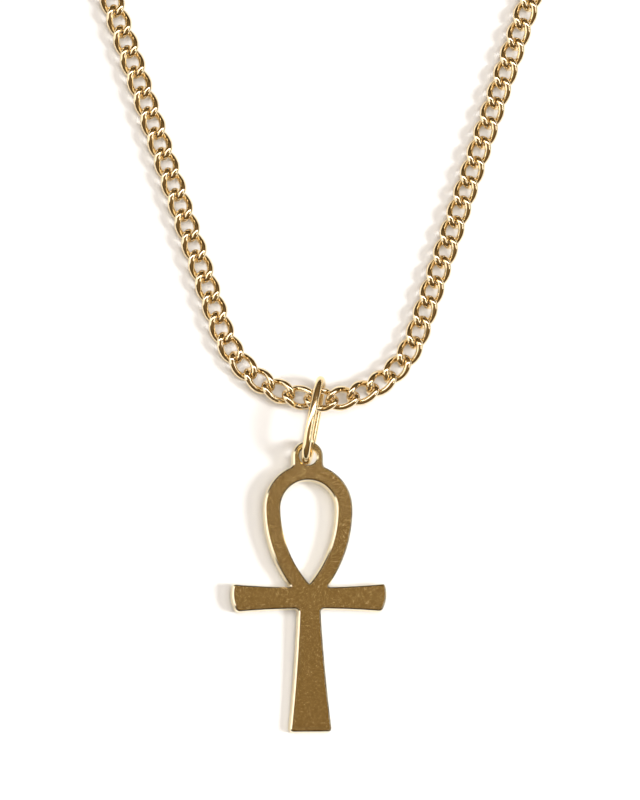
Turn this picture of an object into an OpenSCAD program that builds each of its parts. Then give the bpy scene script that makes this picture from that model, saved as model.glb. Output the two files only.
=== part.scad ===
// Ankh pendant on a curb chain, laid flat on a table.
// Millimetres, +Z up, the table at z = 0. The origin is on the table, in the middle of the
// wide end of the chain's loop, where the neck goes. The pendant lies towards -Y.

/* [Ankh] */
// Thickness of the plate
plate_t = 1.6; // [1.2:0.1:2.4]
// Height of the cross bar's middle above the foot
bar_height = 20.6; // [16:0.1:26]
// Height of the loop's centre above the bar's middle
loop_rise = 13.9; // [12.6:0.1:16]
// Outer radius of the loop's top
loop_r = 6.85; // [6.2:0.05:8]
// Width of the loop's band
band_w = 2.42; // [1.8:0.02:3]
// Width of the loop where it meets the bar
neck_w = 5.44; // [4.4:0.02:6.4]
// Metal between the eye's point and the bar's upper edge
eye_floor = 0.48; // [0.3:0.02:1.4]
// Height of the hole's centre above the loop's top
tab_rise = 1.25; // [1:0.05:3]
// Metal around the hole
tab_rim = 0.88; // [0.7:0.02:1.4]
// Radius of the hollow corners where the tab joins the loop
tab_fillet = 0.8; // [0.4:0.1:1.2]
// Width across both arms
bar_span = 24; // [20:0.5:30]
// Width of an arm at the stem
arm_root_w = 3.25; // [2.6:0.05:3.9]
// Width of an arm at its end
arm_end_w = 4.25; // [3.6:0.05:5.4]
// How far an arm's long edges are hollowed
arm_hollow = 0.14; // [0.05:0.01:0.3]
// Radius of an arm's round end
arm_end_r = 5; // [3.5:0.1:8]
// Height of that round end's centre above the bar's middle
arm_end_rise = 0.6; // [0:0.05:0.8]
// Width of the stem under the bar
stem_top_w = 3.2; // [2.6:0.05:4]
// Width of the stem's foot
foot_w = 6.5; // [5:0.1:8]
// How far the stem's long edges are hollowed
stem_hollow = 0.2; // [0.05:0.01:0.4]
// Radius of the foot's corners
foot_corner_r = 0.5; // [0.2:0.05:0.9]
// Radius of the hollow corners between stem and arms
crotch_r = 0.6; // [0.3:0.05:1]
// Turn of the whole pendant on the table, in degrees
ankh_turn = 0.9; // [-2:0.1:3]

/* [Jump ring] */
// Wire of the jump ring
ring_wire = 1.3; // [1.1:0.05:1.45]
// Outside length
ring_l = 14.1; // [13:0.1:17]
// Outside height, as it stands on its long side
ring_h = 6.9; // [6.6:0.1:8]
// Turn of the ring on the table, in degrees
ring_turn = -10.5; // [-13:0.5:-4]
// Lean of the ring to the left, in degrees
ring_lean = 14; // [8:0.5:17]
// Room for the ring's wire at each side of the tab's hole
hole_play = 0.77; // [0.7:0.01:1]

/* [Chain] */
// Length of the closed necklace, clasp included
chain_l = 457; // [400:1:520]
// Wire of a link
link_wire = 0.86; // [0.8:0.01:0.9]
// Outside width of a link
link_w = 3.84; // [3.7:0.02:4.1]
// Distance from one link to the next
link_pitch = 3.39; // [3.3:0.01:3.6]
// Radius of the chain's bend at the pendant, at the middle of the chain
bend_r = 16.4; // [15:0.1:20]
// Angle of each straight side to the middle line, in degrees
side_angle = 18.65; // [16:0.05:21]
// Distance over which the chain comes down again beside the jump ring
hump_reach = 14; // [12:0.5:24]

/* [Clasp] */
// Diameter of the clasp's barrel
barrel_d = 2.2; // [2:0.1:4]
// Length of the barrel
barrel_l = 7; // [5:0.5:10]
// Wire of the eyelet at each end of the barrel
eyelet_wire = 0.6; // [0.5:0.05:0.8]
// Radius of an eyelet's hole
eyelet_hole_r = 0.95; // [0.9:0.01:1.2]

/* [Fits] */
// Air between the jump ring and what it holds
gap = 0.15; // [0.12:0.01:0.2]
// Air along the chain where two neighbouring links hook
link_gap = 0.34; // [0.3:0.01:0.42]
// Air between the clasp's eyelet and the link in it
clasp_gap = 0.25; // [0.2:0.01:0.35]

/* [Hidden] */
$fn = 96;
LONG_ARC_FN = 720;
EPS = 0.01;

// Curb link: a closed oval whose plane turns by LINK_TWIST from one end to the other
LINK_TWIST = -90;
LINK_POWER = 2.6;
LINK_STEPS = 10;
LINK_SIDES = 5;
link_a = (link_pitch + link_wire + link_gap) / 2;
link_b = (link_w - link_wire) / 2;

function signed_pow(x, e) = sign(x) * pow(abs(x), e);
function oval(t) = [
    link_a * signed_pow(cos(t), 2 / LINK_POWER),
    link_b * signed_pow(sin(t), 2 / LINK_POWER)
];
function roll(a) = LINK_TWIST / 2 * a / link_a;
function link_point(t) =
    let (p = oval(t))
    [p.x, p.y * cos(roll(p.x)), p.y * sin(roll(p.x))];

// Ring of points round the wire at an angle t of the oval
function unit(v) = v / norm(v);
function wire_ring(t) =
    let (
        c = link_point(t),
        along = unit(link_point(t + 1) - link_point(t - 1)),
        out = unit(c - (c * along) * along),
        side = cross(along, out)
    )
    [for (k = [0:LINK_SIDES - 1])
        let (q = 360 * k / LINK_SIDES)
        c + link_wire / 2 * (cos(q) * out + sin(q) * side)];
link_points = [for (i = [0:LINK_STEPS - 1]) each wire_ring(360 * i / LINK_STEPS)];
link_faces = [
    for (i = [0:LINK_STEPS - 1], k = [0:LINK_SIDES - 1])
        let (
            j = (i + 1) % LINK_STEPS,
            m = (k + 1) % LINK_SIDES,
            a = i * LINK_SIDES + k,
            b = i * LINK_SIDES + m,
            c = j * LINK_SIDES + m,
            d = j * LINK_SIDES + k
        )
        each [[a, c, b], [a, d, c]]
];
// Height of a link's middle when it lies on the table
link_rise = -min([for (p = link_points) p.z]);

// Jump ring: two half circles joined by straights, standing on the table.
// Along the ring, 0 is its middle and + points to the chain's end.
ring_arc_r = (ring_h - ring_wire) / 2;
ring_in_r = ring_arc_r - ring_wire / 2;
ring_straight = (ring_l - ring_h) / 2;
ring_mid_z = ring_h / 2;

// The chain lies in the ring's end, clear of the lower wire and of the round end
hooked_z = ring_wire + gap + link_rise;
link_room = ring_in_r - link_wire / 2 - gap;
chain_in_ring = ring_straight - link_b + sqrt(pow(link_room, 2) - pow(hooked_z - ring_mid_z, 2));

// Heights on the pendant, from its foot
loop_height = bar_height + loop_rise;
bar_top = bar_height + arm_root_w / 2;
bar_bottom = bar_height - arm_root_w / 2;
hole_height = loop_height + loop_r + tab_rise;

// The tab's hole takes the ring's other end, and its rim lies over the ring's lower wire
hole_r = ring_wire / 2 + hole_play;
tab_r = hole_r + tab_rim;
hole_in_ring = hole_r - gap - ring_l / 2;
rim_past_straight = max(0, -ring_straight - hole_in_ring - hole_r);
rim_z = ring_mid_z - sqrt(pow(ring_in_r, 2) - pow(rim_past_straight, 2)) + gap;
ankh_tilt = asin(rim_z / (hole_height + hole_r));

// Loop of the chain: bend at the pendant, two straights, and the wide end round the neck
side_turn = side_angle * PI / 180;
wide_r = (chain_l - bend_r * (PI - 2 * side_turn - 2 / tan(side_angle)))
    / (PI + 2 * side_turn + 2 / tan(side_angle));
centres_l = (wide_r - bend_r) / sin(side_angle);
straight_l = centres_l * cos(side_angle);
bend_half_l = bend_r * (PI / 2 - side_turn);
bend_y = -centres_l - bend_r;

// Clasp at the far end of the loop. Each eyelet stands square to the link's end in it.
EYELET_ROLL = LINK_TWIST / 2;
eyelet_arc_r = eyelet_hole_r + eyelet_wire / 2;
clasp_z = max(barrel_d / 2, eyelet_arc_r * abs(sin(EYELET_ROLL)) + eyelet_wire / 2);
clasp_step = barrel_l / 2 + 2 * eyelet_arc_r - (eyelet_wire + link_wire) / 2 - clasp_gap + link_a;
last_link_turn = clasp_step / wide_r * 180 / PI;
clasp_y = wide_r * cos(last_link_turn) + link_a * sin(last_link_turn);

// One link lies in the middle of the bend, and as many on each side
links_side = round((chain_l / 2 - clasp_step) / link_pitch);
pitch = (chain_l / 2 - clasp_step) / links_side;

// Route at a distance s from the middle of the bend, + on the +X side
function side_heading(s) =
    s < bend_half_l ? s / bend_r * 180 / PI
    : s < bend_half_l + straight_l ? 90 - side_angle
    : 90 - side_angle + (s - bend_half_l - straight_l) / wide_r * 180 / PI;
function side_route(s) =
    let (turn = side_heading(s), out = [sin(turn), -cos(turn)])
    s < bend_half_l ? [0, -centres_l] + bend_r * out
    : s < bend_half_l + straight_l
        ? [0, -centres_l] + bend_r * out + (s - bend_half_l) * [cos(turn), sin(turn)]
    : wide_r * out;
function heading(s) = sign(s) * side_heading(abs(s));
function route(s) =
    let (p = side_route(abs(s)))
    [sign(s) * p.x, p.y];
function lift(s) =
    let (x = min(1, abs(s) / hump_reach))
    link_rise + (hooked_z - link_rise) * pow(cos(90 * x), 2);
function climb(s) = atan((lift(s + EPS) - lift(s - EPS)) / (2 * EPS));

// One link at distance s along the route
module curb_link(s) {
    p = route(s);
    translate([p.x, p.y, lift(s)])
        rotate([0, 0, heading(s)])
            rotate([0, -climb(s), 0])
                polyhedron(link_points, link_faces);
}

// Closed oval of round wire, flat in XY, its length along Y
module oval_ring(arc_r, straight, wire_r) {
    for (end = [-1, 1]) {
        translate([0, end * straight, 0])
            rotate([0, 0, end > 0 ? 0 : 180])
                rotate_extrude(angle = 180)
                    translate([arc_r, 0])
                        circle(wire_r);
        translate([end * arc_r, -straight, 0])
            rotate([-90, 0, 0])
                cylinder(h = 2 * straight, r = wire_r);
    }
}

// Area between two straight edges that lean out, each hollowed by a large circle.
// It stands on y = 0, root_w wide there and end_w wide at y = l.
module flare(root_w, end_w, l, hollow) {
    lean = (end_w - root_w) / 2;
    chord = norm([l, lean]);
    r = pow(chord, 2) / 8 / hollow + hollow / 2;
    away = r - hollow;
    difference() {
        polygon([[-root_w / 2, 0], [root_w / 2, 0], [end_w / 2, l], [-end_w / 2, l]]);
        for (side = [-1, 1])
            translate([
                side * ((root_w + end_w) / 4 + away * l / chord),
                l / 2 - away * lean / chord
            ])
                circle(r, $fn = LONG_ARC_FN);
    }
}

// Drop shape: a circle of radius r, and below its middle two side arcs that come
// to a width of w at a depth of d. It is cut off level at a depth of end.
module drop(r, w, d, end) {
    narrowing = r - w / 2;
    side_r = (pow(narrowing, 2) + pow(d, 2)) / narrowing / 2;
    circle(r);
    intersection() {
        translate([side_r - r, 0])
            circle(side_r, $fn = LONG_ARC_FN);
        translate([r - side_r, 0])
            circle(side_r, $fn = LONG_ARC_FN);
        translate([-r, -end])
            square([2 * r, end]);
    }
}

module loop_outline() {
    translate([0, loop_height])
        drop(loop_r, neck_w, loop_height - bar_top, loop_rise);
}

module eye() {
    depth = loop_height - bar_top - eye_floor;
    translate([0, loop_height])
        drop(loop_r - band_w, 0, depth, depth + EPS);
}

// Round tab, with hollow corners between its sides and the loop
module tab_outline() {
    corner_x = tab_r + tab_fillet;
    corner_y = loop_height + sqrt(pow(loop_r + tab_fillet, 2) - pow(corner_x, 2));
    touch_x = corner_x * loop_r / (loop_r + tab_fillet);
    translate([0, hole_height])
        circle(tab_r);
    translate([-tab_r, corner_y - EPS])
        square([2 * tab_r, hole_height - corner_y + EPS]);
    difference() {
        translate([-touch_x, loop_height])
            square([2 * touch_x, corner_y - loop_height]);
        for (side = [-1, 1])
            translate([side * corner_x, corner_y])
                circle(tab_fillet);
    }
}

// Both arms, cut to round ends
module bar_outline() {
    reach = bar_span / 2;
    intersection() {
        translate([0, bar_height])
            for (turn = [-90, 90])
                rotate(turn)
                    flare(arm_root_w, arm_end_w, reach, arm_hollow);
        translate([0, bar_height + arm_end_rise])
            for (side = [-1, 1])
                round_end(side * (reach - arm_end_r), arm_end_r);
    }
}

// Circle of radius r at x, and a band as high as it from there to the middle
module round_end(x, r) {
    translate([x, 0])
        circle(r);
    translate([min(x, 0), -r])
        square([abs(x), 2 * r]);
}

module stem_outline() {
    difference() {
        translate([0, bar_height])
            rotate(180)
                flare(stem_top_w, foot_w, bar_height, stem_hollow);
        for (side = [-1, 1])
            foot_cut(side);
    }
}

// What is taken off a corner of the foot to round it
module foot_cut(side) {
    x = side * (foot_w / 2 - foot_corner_r);
    difference() {
        translate([side > 0 ? x : x - 2 * foot_corner_r, -foot_corner_r])
            square(2 * foot_corner_r);
        translate([x, foot_corner_r])
            circle(foot_corner_r);
    }
}

// Small hollow corners under the bar
module crotches() {
    corner_x = stem_top_w / 2 + crotch_r;
    for (side = [-1, 1])
        difference() {
            translate([side > 0 ? 0 : -corner_x, bar_bottom - crotch_r])
                square([corner_x, 2 * crotch_r]);
            translate([side * corner_x, bar_bottom - crotch_r])
                circle(crotch_r);
        }
}

module ankh_outline() {
    difference() {
        union() {
            tab_outline();
            loop_outline();
            bar_outline();
            stem_outline();
            crotches();
        }
        eye();
        translate([0, hole_height])
            circle(hole_r);
    }
}

// Stands its children, drawn with the ring's middle at y = 0, as the leaning ring stands
module as_ring_stands() {
    translate([0, bend_y, ring_wire / 2])
        rotate([0, 0, ring_turn])
            rotate([0, -ring_lean, 0])
                translate([0, -chain_in_ring, -ring_wire / 2])
                    children();
}

// Middle of the hole over the table, placed as as_ring_stands places it
hole_lift = rim_z + plate_t / 2 - ring_wire / 2;
hole_from_bend = [-sin(ring_lean) * hole_lift, hole_in_ring - chain_in_ring];
hole_x = hole_from_bend.x * cos(ring_turn) - hole_from_bend.y * sin(ring_turn);
hole_y = bend_y + hole_from_bend.x * sin(ring_turn) + hole_from_bend.y * cos(ring_turn);

module ankh() {
    color("peru")
        translate([hole_x, hole_y, 0])
            rotate([0, 0, ankh_turn])
                translate([0, -hole_height * cos(ankh_tilt), 0])
                    rotate([ankh_tilt, 0, 0])
                        linear_extrude(plate_t)
                            ankh_outline();
}

module jump_ring() {
    color("gold")
        as_ring_stands()
            translate([0, 0, ring_mid_z])
                rotate([0, 90, 0])
                    oval_ring(ring_arc_r, ring_straight, ring_wire / 2);
}

module chain_left() {
    color("goldenrod")
        for (i = [1:links_side])
            curb_link(-i * pitch);
}

module chain_right() {
    color("goldenrod")
        for (i = [0:links_side])
            curb_link(i * pitch);
}

module clasp() {
    color("goldenrod")
        translate([0, clasp_y, clasp_z]) {
            translate([-barrel_l / 2, 0, 0])
                rotate([0, 90, 0])
                    cylinder(h = barrel_l, r = barrel_d / 2);
            for (end = [-1, 1])
                translate([end * (barrel_l / 2 + eyelet_arc_r), 0, 0])
                    rotate([end * EYELET_ROLL, 0, 0])
                        rotate_extrude()
                            translate([eyelet_arc_r, 0])
                                circle(eyelet_wire / 2);
        }
}

ankh();
jump_ring();
chain_left();
chain_right();
clasp();
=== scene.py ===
"""Looks of an ankh pendant on a curb chain, lying on a pale table.

Lengths are in millimetres up to the meshes, which are in metres. The sizes are those of the
solid model, whose frame has +Z up, the table at z = 0 and the pendant towards -Y.
"""
import math

import bpy
import numpy as np
from mathutils import Matrix, Vector
from mathutils.geometry import delaunay_2d_cdt


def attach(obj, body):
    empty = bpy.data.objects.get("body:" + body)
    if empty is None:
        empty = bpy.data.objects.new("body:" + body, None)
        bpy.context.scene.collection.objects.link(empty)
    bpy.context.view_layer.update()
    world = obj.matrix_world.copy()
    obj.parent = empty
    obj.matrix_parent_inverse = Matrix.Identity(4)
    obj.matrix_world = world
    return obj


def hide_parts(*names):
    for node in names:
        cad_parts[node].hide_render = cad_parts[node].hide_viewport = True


MM = 0.001

# Ankh
PLATE_T = 1.6
BAR_HEIGHT = 20.6
LOOP_RISE = 13.9
LOOP_R = 6.85
BAND_W = 2.42
NECK_W = 5.44
EYE_FLOOR = 0.48
TAB_RISE = 1.25
TAB_RIM = 0.88
TAB_FILLET = 0.8
BAR_SPAN = 24.0
ARM_ROOT_W = 3.25
ARM_END_W = 4.25
ARM_HOLLOW = 0.14
ARM_END_R = 5.0
ARM_END_RISE = 0.6
STEM_TOP_W = 3.2
FOOT_W = 6.5
STEM_HOLLOW = 0.2
FOOT_CORNER_R = 0.5
CROTCH_R = 0.6
ANKH_TURN = 0.9
# Finer forms of the real casting: corner radii, bevelled edges and walls that spread to the back
ARM_LOW_CORNER_R = 0.7
ARM_TOP_CORNER_R = 0.35
ARMPIT_R = 0.25
EYE_POINT_R = 0.2
EDGE_R = 0.012
EDGE_BEVEL = 0.27
BEVEL_ANGLE = 40.0
BACK_EDGE_R = 0.1
WALL_SPREAD = 0.18
HOLE_STEPS = 72
# Rows of points over the bevel's upper edge, over its lower edge, and from the wall to the back
UPPER_EDGE_ROWS = 3
LOWER_EDGE_ROWS = 4
BACK_EDGE_ROWS = 5

# Jump ring
RING_WIRE = 1.3
RING_L = 14.1
RING_H = 6.9
RING_TURN = -10.5
RING_LEAN = 14.0
HOLE_PLAY = 0.77
# The bent ring's upper limb is arched, and its lower limb lies nearly flat
RING_TOP_POWER = 2.0
RING_LOW_POWER = 3.7
# The arch's crown lies this far towards the ankh
RING_TOP_SKEW = 0.8
# The bent ring is a little shorter than the solid one, and lies this far off it along Y
SHOWN_RING_L = 14.0
SHOWN_RING_SHIFT = -0.18
RING_SIDES = 28
RING_STEPS = 120

# Chain
CHAIN_L = 457.0
LINK_WIRE = 0.86
LINK_W = 3.84
LINK_PITCH = 3.39
BEND_R = 16.4
SIDE_ANGLE = 18.65
HUMP_REACH = 14.0
LINK_TWIST = -90.0
LINK_POWER = 2.6
# Facets of the solid model's link, which set how high it stands
SOLID_LINK_STEPS = 10
SOLID_LINK_SIDES = 5
# The real wire is thicker than the solid links', which stand a little apart
SHOWN_WIRE = 1.06
SHOWN_LINK_W = 3.9
SHOWN_TWIST = 108.0
SHOWN_POWER = 2.3
# How gently a link between the two hands turns at its middle
ALIKE_EASE = 0.35
LINK_SIDES = 14
LINK_STEPS = 44

# Clasp
BARREL_L = 7.0
EYELET_WIRE = 0.6
EYELET_HOLE_R = 0.95

# Fits
GAP = 0.15
LINK_GAP = 0.34
CLASP_GAP = 0.25

# Golds: linear colour, roughness, grains to the metre, and how far tone and gloss vary
WIRE_GOLD = (0.9, 0.74, 0.48)
WIRE_ROUGHNESS = 0.09
RING_GOLD = (0.97, 0.79, 0.48)
RING_ROUGHNESS = 0.16
WIRE_GRAIN = 700
WIRE_TONE = 0.03
# The walls' gold is painted paler than the face's, as a painted reflection of the bright table beside
# them
WALL_REFLECTION_GOLD = (1.0, 0.87, 0.6)
WALL_ROUGHNESS = 0.16
WALL_GRAIN = 900
WALL_TONE = 0.04
GLOSS_SPREAD = 0.3
# The ankh's upper face is a satin with pale specks and shallow pits, whose gold is painted browner and
# darker than the walls' as painted shade
FACE_SHADED_GOLD = (0.69, 0.52, 0.24)
FACE_SPECK = (0.9, 0.71, 0.38)
FACE_ROUGHNESS = 0.22
FACE_GRAIN = 2800
FACE_TONE = 0.055
FACE_GLOSS_SPREAD = 0.2
FACE_PIT = 0.0014
# Noise levels of the darkest tone, the lightest tone and the specks, and those between which the
# gloss changes
DARK_LEVEL = 0.36
LIGHT_LEVEL = 0.64
SPECK_LEVEL = 0.72
GLOSS_LEVELS = (0.3, 0.7)
# Octaves of the noise
GRAIN_DETAIL = 3.0
# Upward part of the normal, from where only the wall's paler gold (painted reflection) shows to where
# only the face's browner gold (painted shade) does
SHADED_FACE_LEVELS = (0.9, 0.99)
# Numbers of a mix node's two inputs and its output, by the kind of what it mixes
MIX_SOCKETS = {"RGBA": (6, 7, 2), "FLOAT": (2, 3, 0)}

# Table, a hair under the lowest point of the pieces
FLOOR_GREY = (0.93, 0.93, 0.93, 1)
FLOOR_ROUGHNESS = 0.7
FLOOR_HALF = 3000.0
FLOOR_Z = -0.03

# Camera: it looks nearly straight down, from a little to the left and to the foot's side
CAMERA_LEFT = 8.0
CAMERA_FOOTWARD = 8.0
CAMERA_FAR = 620.0
AIM = (0.2, -130.0, 0.0)
VIEW_HEIGHT = 125.0
SENSOR = 36.0
CLIP_START = 10.0
CLIP_END = 20000.0

# Lights: degrees, millimetres and watts. A light either only lights what is matt, or is a card
# that only reflections show.
LIGHTS = (
    dict(name="key", azimuth=-10, elevation=42, far=900, size=(230, 230), power=5.8, card=False),
    dict(name="fill", azimuth=90, elevation=89, far=1500, size=(1500, 1500), power=18.6, card=False),
    dict(name="card_back", azimuth=90, elevation=70, far=900, size=(2600, 160), power=7.6, card=True),
    dict(name="card_right", azimuth=-10, elevation=42, far=900, size=(350, 500), power=1.6, card=True),
    dict(name="card_left", azimuth=180, elevation=24, far=700, size=(600, 600), power=1.5, card=True),
)

# The room's colours, from the horizon up to straight overhead
ROOM = (
    (0.0, (0.01, 0.009, 0.008)),
    (0.6, (0.17, 0.11, 0.05)),
    (1.0, (0.25, 0.165, 0.08)),
)

# Longest step along an outline, and largest turn in one step in radians
ARC_STEP = 0.12
ARC_TURN = 0.12
# Points of a curve from which evenly spaced ones are worked out
FINE_POINTS = 1441
# Points closer than this count as one when a flat face is cut into triangles
SAME_POINT = 1e-7
# What is wanted then: only the triangles inside the outline
INSIDE_OUTLINE = 1
# How far an outline is moved along its normals to see which way they point
NUDGE = 0.01


# Sizes that follow from those above

LINK_A = (LINK_PITCH + LINK_WIRE + LINK_GAP) / 2


def link_line(t, half_width, power, twist, ends_alike=False):
    """Centre line of a link at angle t: an oval whose plane turns along its length.

    Its ends are turned opposite ways, or the same way in a link between links of opposite hands.
    """
    x = LINK_A * np.sign(np.cos(t)) * abs(np.cos(t)) ** (2 / power)
    y = half_width * np.sign(np.sin(t)) * abs(np.sin(t)) ** (2 / power)
    share = x / LINK_A
    if ends_alike:
        whole = math.hypot(1, ALIKE_EASE) - ALIKE_EASE
        share = (math.hypot(share, ALIKE_EASE) - ALIKE_EASE) / whole
    roll = math.radians(twist / 2) * share
    return np.array([x, y * math.cos(roll), y * math.sin(roll)])


def link_rings(angles, width, wire, power, twist, sides, ends_alike=False):
    """Rings of points round a link's centre line, one for each angle."""
    form = ((width - wire) / 2, power, twist, ends_alike)
    step = math.radians(1)
    rings = []
    for t in angles:
        centre = link_line(t, *form)
        along = link_line(t + step, *form) - link_line(t - step, *form)
        along /= np.linalg.norm(along)
        out = centre - centre.dot(along) * along
        out /= np.linalg.norm(out)
        rings.append(circle_points(centre, out, np.cross(along, out), wire / 2, sides))
    return np.array(rings)


def circle_points(centre, u, v, radius, sides):
    """Points of a circle in the plane of two directions."""
    turns = 2 * math.pi * np.arange(sides) / sides
    return centre + radius * (np.cos(turns)[:, None] * u + np.sin(turns)[:, None] * v)


def solid_link_rise():
    """Height of the solid link's middle above its lowest point."""
    angles = 2 * math.pi * np.arange(SOLID_LINK_STEPS) / SOLID_LINK_STEPS
    rings = link_rings(angles, LINK_W, LINK_WIRE, LINK_POWER, LINK_TWIST, SOLID_LINK_SIDES)
    return -rings[:, :, 2].min()


LINK_RISE = solid_link_rise()
HOOKED_Z = RING_WIRE + GAP + LINK_RISE
RING_ARC_R = (RING_H - RING_WIRE) / 2
RING_IN_R = RING_ARC_R - RING_WIRE / 2
RING_STRAIGHT = (RING_L - RING_H) / 2
RING_MID_Z = RING_H / 2
LINK_ROOM = RING_IN_R - LINK_WIRE / 2 - GAP
LINK_B = (LINK_W - LINK_WIRE) / 2
CHAIN_IN_RING = RING_STRAIGHT - LINK_B + math.sqrt(LINK_ROOM ** 2 - (HOOKED_Z - RING_MID_Z) ** 2)

LOOP_HEIGHT = BAR_HEIGHT + LOOP_RISE
BAR_TOP = BAR_HEIGHT + ARM_ROOT_W / 2
HOLE_HEIGHT = LOOP_HEIGHT + LOOP_R + TAB_RISE
HOLE_R = RING_WIRE / 2 + HOLE_PLAY
TAB_R = HOLE_R + TAB_RIM
HOLE_IN_RING = HOLE_R - GAP - RING_L / 2
RIM_PAST_STRAIGHT = max(0, -RING_STRAIGHT - HOLE_IN_RING - HOLE_R)
RIM_Z = RING_MID_Z - math.sqrt(RING_IN_R ** 2 - RIM_PAST_STRAIGHT ** 2) + GAP
ANKH_TILT = math.asin(RIM_Z / (HOLE_HEIGHT + HOLE_R))

SIDE_TURN = math.radians(SIDE_ANGLE)
WIDE_R = (CHAIN_L - BEND_R * (math.pi - 2 * SIDE_TURN - 2 / math.tan(SIDE_TURN))) / (
    math.pi + 2 * SIDE_TURN + 2 / math.tan(SIDE_TURN))
CENTRES_L = (WIDE_R - BEND_R) / math.sin(SIDE_TURN)
STRAIGHT_L = CENTRES_L * math.cos(SIDE_TURN)
BEND_HALF_L = BEND_R * (math.pi / 2 - SIDE_TURN)
BEND_Y = -CENTRES_L - BEND_R

EYELET_ARC_R = EYELET_HOLE_R + EYELET_WIRE / 2
CLASP_STEP = BARREL_L / 2 + 2 * EYELET_ARC_R - (EYELET_WIRE + LINK_WIRE) / 2 - CLASP_GAP + LINK_A
LINKS_SIDE = round((CHAIN_L / 2 - CLASP_STEP) / LINK_PITCH)
PITCH = (CHAIN_L / 2 - CLASP_STEP) / LINKS_SIDE


# Meshes

def new_object(name, points, faces, material, smooth=True):
    """Mesh object from points in millimetres."""
    mesh = bpy.data.meshes.new(name)
    mesh.from_pydata([tuple(p) for p in np.asarray(points) * MM], [], faces)
    mesh.validate()
    mesh.materials.append(material)
    mesh.polygons.foreach_set("use_smooth", [smooth] * len(mesh.polygons))
    obj = bpy.data.objects.new(name, mesh)
    bpy.context.scene.collection.objects.link(obj)
    return obj


def turn(axis, degrees):
    """Matrix of a rotation about X, Y or Z."""
    return np.array(Matrix.Rotation(math.radians(degrees), 3, axis))


def length_along(points):
    """Length along a path up to each of its points."""
    steps = np.linalg.norm(np.diff(points, axis=0), axis=1)
    return np.concatenate([[0], np.cumsum(steps)])


def tube(rings):
    """Points and faces of a closed tube from its rings of points."""
    n, sides = rings.shape[:2]
    faces = []
    for i in range(n):
        a = i * sides
        b = ((i + 1) % n) * sides
        for k in range(sides):
            m = (k + 1) % sides
            faces.append((a + k, a + m, b + m, b + k))
    return rings.reshape(-1, 3), faces


def join(parts):
    """One list of points and faces from several."""
    points, faces = [], []
    start = 0
    for p, f in parts:
        points.append(p)
        faces += [tuple(start + i for i in face) for face in f]
        start += len(p)
    return np.concatenate(points), faces


# Outline of the ankh: circles as (x, y, radius), arcs between them

def meet(a, b, near):
    """The point common to two circles that is nearest to a given point."""
    ca, cb = np.array(a[:2]), np.array(b[:2])
    d = np.linalg.norm(cb - ca)
    along = (d * d + a[2] ** 2 - b[2] ** 2) / (2 * d)
    off = math.sqrt(max(0.0, a[2] ** 2 - along ** 2))
    u = (cb - ca) / d
    v = np.array([-u[1], u[0]])
    options = [ca + along * u + s * off * v for s in (-1, 1)]
    return min(options, key=lambda p: np.linalg.norm(p - np.array(near)))


def grown(circle, by):
    """The circle with a radius that is larger by so much."""
    return (circle[0], circle[1], circle[2] + by)


def fillet(a, grow_a, b, grow_b, r, near):
    """Circle of radius r that touches circles a and b, on the side that each grow sign says."""
    c = meet(grown(a, grow_a * r), grown(b, grow_b * r), near)
    return (c[0], c[1], r)


def touch(a, small):
    """Where a small circle touches circle a."""
    ca, cs = np.array(a[:2]), np.array(small[:2])
    return ca + a[2] * (cs - ca) / np.linalg.norm(cs - ca)


def arc(circle, start, end, metal_inside):
    """Points and outward normals along the short arc from start to end, start left out."""
    c = np.array(circle[:2])
    a0 = math.atan2(start[1] - c[1], start[0] - c[0])
    a1 = math.atan2(end[1] - c[1], end[0] - c[0])
    sweep = (a1 - a0 + math.pi) % (2 * math.pi) - math.pi
    n = max(3, math.ceil(abs(sweep) * circle[2] / ARC_STEP), math.ceil(abs(sweep) / ARC_TURN))
    angles = a0 + sweep * np.arange(1, n + 1) / n
    out = np.stack([np.cos(angles), np.sin(angles)], 1)
    return c + circle[2] * out, out if metal_inside else -out


def line(start, end, normal):
    """Points and normals along a straight line, start left out."""
    start, end = np.array(start), np.array(end)
    n = max(2, int(np.linalg.norm(end - start) / ARC_STEP))
    t = np.arange(1, n + 1)[:, None] / n
    return start + (end - start) * t, np.repeat([normal], n, 0)


def edge_circle(p, q, hollow):
    """Large circle through p and q, whose arc lies hollow to the left of the line from p to q."""
    p, q = np.array(p, float), np.array(q, float)
    chord = np.linalg.norm(q - p)
    r = chord ** 2 / 8 / hollow + hollow / 2
    left = np.array([-(q - p)[1], (q - p)[0]]) / chord
    c = (p + q) / 2 - left * (r - hollow)
    return (c[0], c[1], r)


def drop_side(r, w, depth):
    """Circle of the right side of a drop shape about the loop's centre."""
    narrowing = r - w / 2
    side_r = (narrowing ** 2 + depth ** 2) / narrowing / 2
    return (r - side_r, LOOP_HEIGHT, side_r)


def whole_outline(start, start_normal, pieces):
    """Outline from its start on the middle line and the pieces of its right half."""
    points = np.concatenate([p for p, _ in pieces])
    normals = np.concatenate([n for _, n in pieces])
    flip = np.array([-1, 1])
    back = np.arange(len(points) - 2, -1, -1)
    return (np.concatenate([[start], points, points[back] * flip]),
            np.concatenate([[start_normal], normals, normals[back] * flip]))


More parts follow.
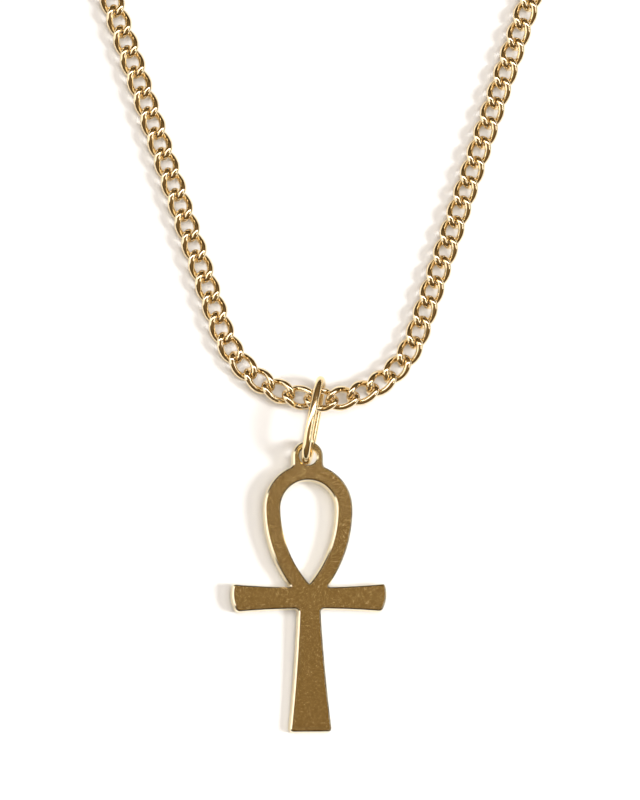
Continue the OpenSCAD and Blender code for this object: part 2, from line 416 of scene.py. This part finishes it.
def ankh_outer():
    """Outline of the plate with its outward normals, anticlockwise from the middle of the foot."""
    half_foot = FOOT_W / 2
    reach = BAR_SPAN / 2
    stem = edge_circle((half_foot, 0), (STEM_TOP_W / 2, BAR_HEIGHT), STEM_HOLLOW)
    bar_low = BAR_HEIGHT - ARM_ROOT_W / 2
    end_low = BAR_HEIGHT - ARM_END_W / 2
    end_top = BAR_HEIGHT + ARM_END_W / 2
    low = edge_circle((0, bar_low), (reach, end_low), ARM_HOLLOW)
    top = edge_circle((reach, end_top), (0, BAR_TOP), ARM_HOLLOW)
    end = (reach - ARM_END_R, BAR_HEIGHT + ARM_END_RISE, ARM_END_R)
    side = drop_side(LOOP_R, NECK_W, LOOP_HEIGHT - BAR_TOP)
    crown = (0, LOOP_HEIGHT, LOOP_R)
    shoulder_x = TAB_R + TAB_FILLET
    shoulder_y = LOOP_HEIGHT + math.sqrt((LOOP_R + TAB_FILLET) ** 2 - shoulder_x ** 2)
    shoulder = (shoulder_x, shoulder_y, TAB_FILLET)
    tab = (0, HOLE_HEIGHT, TAB_R)

    foot_rise = FOOT_CORNER_R - stem[1]
    foot_x = stem[0] - math.sqrt((stem[2] + FOOT_CORNER_R) ** 2 - foot_rise ** 2)
    foot = (foot_x, FOOT_CORNER_R, FOOT_CORNER_R)
    crotch_near = (STEM_TOP_W / 2 + CROTCH_R, bar_low - CROTCH_R)
    crotch = fillet(stem, -1, low, -1, CROTCH_R, crotch_near)
    low_corner = fillet(low, 1, end, -1, ARM_LOW_CORNER_R, (reach, end_low))
    top_corner = fillet(top, 1, end, -1, ARM_TOP_CORNER_R, (reach, end_top))
    armpit_near = (NECK_W / 2 + ARMPIT_R, BAR_TOP + ARMPIT_R)
    armpit = fillet(top, -1, side, 1, ARMPIT_R, armpit_near)

    widest = (LOOP_R, LOOP_HEIGHT)
    return whole_outline((0, 0), (0, -1), [
        line((0, 0), (foot_x, 0), (0, -1)),
        arc(foot, (foot_x, 0), touch(stem, foot), True),
        arc(stem, touch(stem, foot), touch(stem, crotch), False),
        arc(crotch, touch(stem, crotch), touch(low, crotch), False),
        arc(low, touch(low, crotch), touch(low, low_corner), False),
        arc(low_corner, touch(low, low_corner), touch(end, low_corner), True),
        arc(end, touch(end, low_corner), touch(end, top_corner), True),
        arc(top_corner, touch(end, top_corner), touch(top, top_corner), True),
        arc(top, touch(top, top_corner), touch(top, armpit), False),
        arc(armpit, touch(top, armpit), touch(side, armpit), False),
        arc(side, touch(side, armpit), widest, True),
        arc(crown, widest, touch(crown, shoulder), True),
        arc(shoulder, touch(crown, shoulder), (TAB_R, shoulder_y), False),
        line((TAB_R, shoulder_y), (TAB_R, HOLE_HEIGHT), (1, 0)),
        arc(tab, (TAB_R, HOLE_HEIGHT), (0, HOLE_HEIGHT + TAB_R), True),
    ])


def ankh_eye():
    """Outline of the eye, with normals that point out of the metal, into the eye."""
    r = LOOP_R - BAND_W
    depth = LOOP_HEIGHT - BAR_TOP - EYE_FLOOR
    side = drop_side(r, 0, depth)
    crown = (0, LOOP_HEIGHT, r)
    point_y = LOOP_HEIGHT - math.sqrt((side[2] - EYE_POINT_R) ** 2 - side[0] ** 2)
    point = (0, point_y, EYE_POINT_R)
    lowest = (0, point_y - EYE_POINT_R)
    widest = (r, LOOP_HEIGHT)
    return whole_outline(lowest, (0, 1), [
        arc(point, lowest, touch(side, point), False),
        arc(side, touch(side, point), widest, False),
        arc(crown, widest, (0, LOOP_HEIGHT + r), False),
    ])


def ankh_hole():
    """Outline of the tab's hole, with normals that point into it."""
    angles = 2 * math.pi * np.arange(HOLE_STEPS) / HOLE_STEPS
    out = np.stack([np.cos(angles), np.sin(angles)], 1)
    return np.array([0, HOLE_HEIGHT]) + HOLE_R * out, -out


def plate(outlines, spreads):
    """Points, faces and normals of a plate with bevelled edges and walls that spread to the back."""
    points, normals, faces = [], [], []
    tops, backs = [], []
    start = 0
    for (outline, outward), spread in zip(outlines, spreads):
        n = len(outline)
        rows = edge_profile(spread)
        for g, z, level, rise in rows:
            points.append(np.column_stack([outline + outward * g, np.full(n, z)]))
            normals.append(np.column_stack([outward * level, np.full(n, rise)]))
        flip = points_outward(outline, outward) != (area(outline) > 0)
        for i in range(len(rows) - 1):
            for k in range(n):
                m = (k + 1) % n
                a = start + i * n
                b = a + n
                quad = (a + k, b + k, b + m, a + m)
                faces.append(quad[::-1] if flip else quad)
        tops.append(np.arange(start, start + n))
        start += len(rows) * n
        backs.append(np.arange(start - n, start))
    points, normals = np.concatenate(points), np.concatenate(normals)
    faces += flat_faces(points, tops, True) + flat_faces(points, backs, False)
    return points, faces, normals


def edge_profile(spread):
    """Rows (outward, height, outward part and upward part of the normal) down the plate's edge."""
    bevel = math.radians(BEVEL_ANGLE)
    across = EDGE_BEVEL * math.cos(bevel)
    drop = EDGE_BEVEL * math.sin(bevel)
    lean = math.atan2(spread, PLATE_T - drop - EDGE_R - BACK_EDGE_R)
    rows = []
    for q in np.linspace(0, bevel, UPPER_EDGE_ROWS):
        s, c = math.sin(q), math.cos(q)
        rows.append((EDGE_R * (s - 1) - across, PLATE_T - EDGE_R * (1 - c), s, c))
    for q in np.linspace(bevel, math.pi / 2 - lean, LOWER_EDGE_ROWS):
        s, c = math.sin(q), math.cos(q)
        rows.append((EDGE_R * (s - 1), PLATE_T - drop - EDGE_R * (1 - c), s, c))
    for q in np.linspace(math.pi / 2 - lean, math.pi, BACK_EDGE_ROWS):
        s, c = math.sin(q), math.cos(q)
        rows.append((spread + BACK_EDGE_R * (s - 1), BACK_EDGE_R * (1 + c), s, c))
    return rows


def flat_faces(points, rings, up):
    """Triangles between an outer ring of point numbers and the rings of its holes."""
    numbers = np.concatenate(rings)
    flat = [Vector(points[i][:2]) for i in numbers]
    edges = []
    start = 0
    for ring in rings:
        n = len(ring)
        edges += [(start + k, start + (k + 1) % n) for k in range(n)]
        start += n
    verts, _, fills, sources, _, _ = delaunay_2d_cdt(flat, edges, [], INSIDE_OUTLINE, SAME_POINT)
    faces = []
    for fill in fills:
        corners = np.array([verts[i] for i in fill])
        if any(inside(corners.mean(0), points[ring]) for ring in rings[1:]):
            continue
        face = tuple(int(numbers[sources[i][0]]) for i in fill)
        faces.append(face if (area(corners) > 0) == up else face[::-1])
    return faces


def area(points):
    """Area of a ring of points, below zero where the ring runs clockwise."""
    x, y = points[:, 0], points[:, 1]
    return 0.5 * float(np.sum(x * np.roll(y, -1) - y * np.roll(x, -1)))


def inside(p, ring):
    """True where p lies inside a ring of points, seen from above."""
    a, b = ring, np.roll(ring, -1, 0)
    spans = (a[:, 1] > p[1]) != (b[:, 1] > p[1])
    a, b = a[spans], b[spans]
    crossing = a[:, 0] + (p[1] - a[:, 1]) * (b[:, 0] - a[:, 0]) / (b[:, 1] - a[:, 1])
    return np.count_nonzero(crossing > p[0]) % 2 == 1


def points_outward(points, normals):
    """True where the normals point away from the inside of the ring of points."""
    return abs(area(points + normals * NUDGE)) > abs(area(points))


def ring_frame(points):
    """Stands points, drawn with the ring's middle at y = 0, as the leaning ring stands."""
    p = points + [0, -CHAIN_IN_RING, -RING_WIRE / 2]
    p = p @ turn("Y", -RING_LEAN).T @ turn("Z", RING_TURN).T
    return p + [0, BEND_Y, RING_WIRE / 2]


def make_ankh(material):
    """The plate, with its foot on the table and its tab over the ring's lower limb."""
    outlines = [ankh_outer(), ankh_eye(), ankh_hole()]
    points, faces, normals = plate(outlines, [WALL_SPREAD, WALL_SPREAD, 0.0])
    hole = ring_frame(np.array([[0, HOLE_IN_RING, RIM_Z + PLATE_T / 2]]))[0]
    tilt = turn("X", math.degrees(ANKH_TILT))
    heading = turn("Z", ANKH_TURN)
    points = (points @ tilt.T + [0, -HOLE_HEIGHT * math.cos(ANKH_TILT), 0]) @ heading.T
    normals = normals @ tilt.T @ heading.T
    obj = new_object("ankh_plate", points + [hole[0], hole[1], 0], faces, material)
    obj.data.normals_split_custom_set_from_vertices([tuple(n) for n in normals])
    return obj


def ring_point(q):
    """Point of the ring's centre line at an angle from +Y, about the ring's middle."""
    power = RING_TOP_POWER if math.sin(q) > 0 else RING_LOW_POWER
    half_l = (SHOWN_RING_L - RING_WIRE) / 2
    half_h = (RING_H - RING_WIRE) / 2
    c, s = math.cos(q), math.sin(q)
    skew = RING_TOP_SKEW * max(0, s) ** 2
    return np.array([0, half_l * np.sign(c) * abs(c) ** (2 / power) - skew,
                     half_h * np.sign(s) * abs(s) ** (2 / power)])


def make_ring(material):
    """The jump ring, a wire in one plane, with its steps evenly spaced."""
    raw = np.array([ring_point(q) for q in np.linspace(0, 2 * math.pi, FINE_POINTS)])
    length = length_along(raw)
    at = length[-1] * np.arange(RING_STEPS) / RING_STEPS
    centres = np.stack([np.interp(at, length, raw[:, k]) for k in range(3)], 1)
    along = np.roll(centres, -1, 0) - np.roll(centres, 1, 0)
    along /= np.linalg.norm(along, axis=1)[:, None]
    across = np.array([1.0, 0, 0])
    outs = np.cross(along, across)
    rings = []
    for centre, out in zip(centres, outs):
        rings.append(circle_points(centre, out, across, RING_WIRE / 2, RING_SIDES))
    points, faces = tube(np.array(rings))
    points = ring_frame(points + [0, SHOWN_RING_SHIFT, RING_MID_Z])
    return new_object("ring_wire", points, faces, material)


# Chain

def link_shape(twist, ends_alike):
    """One link with evenly spaced rings, and the height of its middle above its lowest point."""
    half_width = (SHOWN_LINK_W - SHOWN_WIRE) / 2
    fine = np.linspace(0, 2 * math.pi, FINE_POINTS)
    raw = np.array([link_line(t, half_width, SHOWN_POWER, twist, ends_alike) for t in fine])
    length = length_along(raw)
    angles = np.interp(length[-1] * np.arange(LINK_STEPS) / LINK_STEPS, length, fine)
    rings = link_rings(angles, SHOWN_LINK_W, SHOWN_WIRE, SHOWN_POWER, twist, LINK_SIDES, ends_alike)
    points, faces = tube(rings)
    return points, faces, -points[:, 2].min()


def side_heading(s):
    """Heading in degrees at a distance s along the +X side."""
    if s < BEND_HALF_L:
        return math.degrees(s / BEND_R)
    if s < BEND_HALF_L + STRAIGHT_L:
        return 90 - SIDE_ANGLE
    return 90 - SIDE_ANGLE + math.degrees((s - BEND_HALF_L - STRAIGHT_L) / WIDE_R)


def route(s):
    """Point and heading at a distance s from the middle of the bend, + on the +X side."""
    side = 1 if s >= 0 else -1
    far = abs(s)
    heading = side_heading(far)
    q = math.radians(heading)
    out = np.array([math.sin(q), -math.cos(q)])
    if far < BEND_HALF_L + STRAIGHT_L:
        p = np.array([0, -CENTRES_L]) + BEND_R * out
        p = p + max(0, far - BEND_HALF_L) * np.array([math.cos(q), math.sin(q)])
    else:
        p = WIDE_R * out
    return np.array([side * p[0], p[1]]), side * heading


def lift(s, rise):
    """Height of a link's middle, which climbs from its rise on the table to the ring's wire."""
    x = min(1, abs(s) / HUMP_REACH)
    return rise + (HOOKED_Z - rise) * math.cos(math.pi / 2 * x) ** 2


def climb(s, rise, step=0.01):
    """Slope of that rise, in degrees."""
    return math.degrees(math.atan((lift(s + step, rise) - lift(s - step, rise)) / (2 * step)))


def place_link(shape, s):
    """Points and faces of a link with its middle at a distance s along the chain."""
    points, faces, rise = shape
    p, heading = route(s)
    turned = points @ turn("Y", -climb(s, rise)).T @ turn("Z", heading).T
    return turned + [p[0], p[1], lift(s, rise)], faces


def make_chain(name, numbers, twist, alike_number, material):
    """Links in a row, of which one has its two ends turned the same way."""
    plain = link_shape(twist, False)
    alike = link_shape(twist, True)
    links = [place_link(alike if i == alike_number else plain, i * PITCH) for i in numbers]
    points, faces = join(links)
    return new_object(name, points, faces, material)


def finish_solid(frame, node, material):
    """Gives a solid that stays as it is its material."""
    obj = frame["nodes"][node]
    obj.data.materials.clear()
    obj.data.materials.append(material)


# Materials

def gold(name, colour, roughness, grain, tone):
    """Polished gold whose tone and gloss vary a little over a noise."""
    mat = bpy.data.materials.new(name)
    mat.use_nodes = True
    tree = mat.node_tree
    shader = tree.nodes["Principled BSDF"]
    shader.inputs["Metallic"].default_value = 1.0
    level = noise(tree, tree.nodes.new("ShaderNodeTexCoord"), grain)
    tree.links.new(colour_ramp(tree, level, tones(colour, tone)), shader.inputs["Base Color"])
    gloss = spread_range(tree, level, roughness, GLOSS_SPREAD)
    tree.links.new(gloss, shader.inputs["Roughness"])
    return mat


def noise(tree, coords, grain):
    """Level of a noise with this many grains to the metre."""
    node = tree.nodes.new("ShaderNodeTexNoise")
    node.inputs["Scale"].default_value = grain
    node.inputs["Detail"].default_value = GRAIN_DETAIL
    tree.links.new(coords.outputs["Object"], node.inputs["Vector"])
    return node.outputs["Fac"]


def tones(colour, tone):
    """Stops of a darker and a lighter tone of a colour."""
    dark = [c * (1 - tone) for c in colour]
    light = [min(1, c * (1 + tone)) for c in colour]
    return [(DARK_LEVEL, dark), (LIGHT_LEVEL, light)]


def colour_ramp(tree, level, stops):
    """Colour over a level, from stops of a level and a colour each."""
    node = tree.nodes.new("ShaderNodeValToRGB")
    elements = node.color_ramp.elements
    for element, (position, colour) in zip(elements, (stops[0], stops[-1])):
        element.position = position
        element.color = (*colour, 1)
    for position, colour in stops[1:-1]:
        elements.new(position).color = (*colour, 1)
    tree.links.new(level, node.inputs["Fac"])
    return node.outputs["Color"]


def map_range(tree, level, given, wanted):
    """Value that goes through the wanted range as the level goes through the given one."""
    node = tree.nodes.new("ShaderNodeMapRange")
    node.inputs["From Min"].default_value, node.inputs["From Max"].default_value = given
    node.inputs["To Min"].default_value, node.inputs["To Max"].default_value = wanted
    tree.links.new(level, node.inputs["Value"])
    return node.outputs["Result"]


def spread_range(tree, level, value, spread):
    """Value that varies over a noise's level by a share of itself either way."""
    return map_range(tree, level, GLOSS_LEVELS, (value * (1 - spread), value * (1 + spread)))


def mix(tree, kind, share, first, second):
    """Mix of two sockets, colours or numbers, with this share of the second."""
    node = tree.nodes.new("ShaderNodeMix")
    node.data_type = kind
    first_input, second_input, result = MIX_SOCKETS[kind]
    tree.links.new(share, node.inputs["Factor"])
    tree.links.new(first, node.inputs[first_input])
    tree.links.new(second, node.inputs[second_input])
    return node.outputs[result]


def satin_gold():
    """Gold with polished walls painted paler, as painted reflection, and a finely grained satin on its
    flat upper face painted browner, as painted shade.
    """
    # The walls' paler gold is a painted reflection of the bright table
    mat = gold("satin_gold", WALL_REFLECTION_GOLD, WALL_ROUGHNESS, WALL_GRAIN, WALL_TONE)
    tree = mat.node_tree
    shader = tree.nodes["Principled BSDF"]
    coords = tree.nodes["Texture Coordinate"]
    facing = tree.nodes.new("ShaderNodeSeparateXYZ")
    tree.links.new(coords.outputs["Normal"], facing.inputs["Vector"])
    on_shaded_face = map_range(tree, facing.outputs["Z"], SHADED_FACE_LEVELS, (0, 1))
    level = noise(tree, coords, FACE_GRAIN)
    # The face's tones start from its painted-shade gold, browner and darker than the walls', with pale
    # specks
    tone = colour_ramp(tree, level, tones(FACE_SHADED_GOLD, FACE_TONE) + [(SPECK_LEVEL, FACE_SPECK)])
    gloss = spread_range(tree, level, FACE_ROUGHNESS, FACE_GLOSS_SPREAD)
    for name, kind, face in (("Base Color", "RGBA", tone), ("Roughness", "FLOAT", gloss)):
        socket = shader.inputs[name]
        wall = socket.links[0].from_socket
        tree.links.new(mix(tree, kind, on_shaded_face, wall, face), socket)
    bump = tree.nodes.new("ShaderNodeBump")
    bump.inputs["Distance"].default_value = FACE_PIT * MM
    tree.links.new(on_shaded_face, bump.inputs["Strength"])
    tree.links.new(level, bump.inputs["Height"])
    tree.links.new(bump.outputs["Normal"], shader.inputs["Normal"])
    return mat


def floor_material():
    """Matt and nearly white."""
    mat = bpy.data.materials.new("pale_table")
    mat.use_nodes = True
    shader = mat.node_tree.nodes["Principled BSDF"]
    shader.inputs["Base Color"].default_value = FLOOR_GREY
    shader.inputs["Roughness"].default_value = FLOOR_ROUGHNESS
    return mat


# Stage

def make_floor():
    """The pale table."""
    corners = [(-1, -1), (1, -1), (1, 1), (-1, 1)]
    points = [(FLOOR_HALF * x, FLOOR_HALF * y, FLOOR_Z) for x, y in corners]
    floor = new_object("floor", points, [(0, 1, 2, 3)], floor_material(), smooth=False)


def make_camera():
    """A camera that looks at AIM, with +Y up in the picture."""
    data = bpy.data.cameras.new("camera")
    data.sensor_width = SENSOR
    data.lens = SENSOR * CAMERA_FAR / VIEW_HEIGHT
    data.clip_start = CLIP_START * MM
    data.clip_end = CLIP_END * MM
    camera = bpy.data.objects.new("camera", data)
    bpy.context.scene.collection.objects.link(camera)
    left = math.tan(math.radians(CAMERA_LEFT))
    footward = math.tan(math.radians(CAMERA_FOOTWARD))
    away = np.array([-left, -footward, 1])
    away /= np.linalg.norm(away)
    camera.location = Vector((np.array(AIM) + CAMERA_FAR * away) * MM)
    back = Vector(away)
    right = Vector((0, 1, 0)).cross(back).normalized()
    up = back.cross(right)
    camera.rotation_euler = Matrix((right, up, back)).transposed().to_euler()
    bpy.context.scene.camera = camera


def area_light(name, azimuth, elevation, far, size, power, card):
    """Soft light at an azimuth from +X towards +Y, aimed at the pendant."""
    data = bpy.data.lights.new(name, "AREA")
    data.shape = "RECTANGLE"
    data.size = size[0] * MM
    data.size_y = size[1] * MM
    data.energy = power
    light = bpy.data.objects.new(name, data)
    bpy.context.scene.collection.objects.link(light)
    a = math.radians(azimuth)
    e = math.radians(elevation)
    away = Vector((math.cos(e) * math.cos(a), math.cos(e) * math.sin(a), math.sin(e)))
    light.location = (Vector(AIM) + away * far) * MM
    light.rotation_euler = away.to_track_quat("Z", "Y").to_euler()
    light.visible_camera = False
    light.visible_glossy = card
    light.visible_diffuse = not card


def make_world():
    """A dim warm room, darker towards the horizon."""
    world = bpy.data.worlds.new("studio")
    bpy.context.scene.world = world
    world.use_nodes = True
    tree = world.node_tree
    background = tree.nodes["Background"]
    coords = tree.nodes.new("ShaderNodeTexCoord")
    split = tree.nodes.new("ShaderNodeSeparateXYZ")
    tree.links.new(coords.outputs["Generated"], split.inputs["Vector"])
    tree.links.new(colour_ramp(tree, split.outputs["Z"], ROOM), background.inputs["Color"])
    background.inputs["Strength"].default_value = 1.0


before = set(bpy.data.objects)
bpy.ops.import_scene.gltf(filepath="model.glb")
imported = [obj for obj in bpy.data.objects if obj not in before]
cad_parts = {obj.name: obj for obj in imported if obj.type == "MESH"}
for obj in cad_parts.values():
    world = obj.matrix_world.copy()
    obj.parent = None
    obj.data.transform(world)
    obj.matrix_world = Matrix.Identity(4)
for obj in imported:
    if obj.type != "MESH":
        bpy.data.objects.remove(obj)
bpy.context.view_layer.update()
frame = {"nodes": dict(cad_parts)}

gold_face = satin_gold()
gold_wire = gold("polished_gold", WIRE_GOLD, WIRE_ROUGHNESS, WIRE_GRAIN, WIRE_TONE)
gold_ring = gold("ring_gold", RING_GOLD, RING_ROUGHNESS, WIRE_GRAIN, WIRE_TONE)

ankh = make_ankh(gold_face)
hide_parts("ankh")
ring = make_ring(gold_ring)
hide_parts("jump_ring")
left_numbers = range(-1, -LINKS_SIDE - 1, -1)
left = make_chain("links_left", left_numbers, SHOWN_TWIST, -LINKS_SIDE, gold_wire)
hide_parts("chain_left")
right_numbers = range(0, LINKS_SIDE + 1)
right = make_chain("links_right", right_numbers, -SHOWN_TWIST, 0, gold_wire)
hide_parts("chain_right")
for piece in (ankh, ring, left, right):
    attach(piece, "root")
finish_solid(frame, "clasp", gold_wire)

make_floor()
make_camera()
make_world()
for light in LIGHTS:
    area_light(**light)
bpy.context.scene.view_settings.view_transform = "Standard"
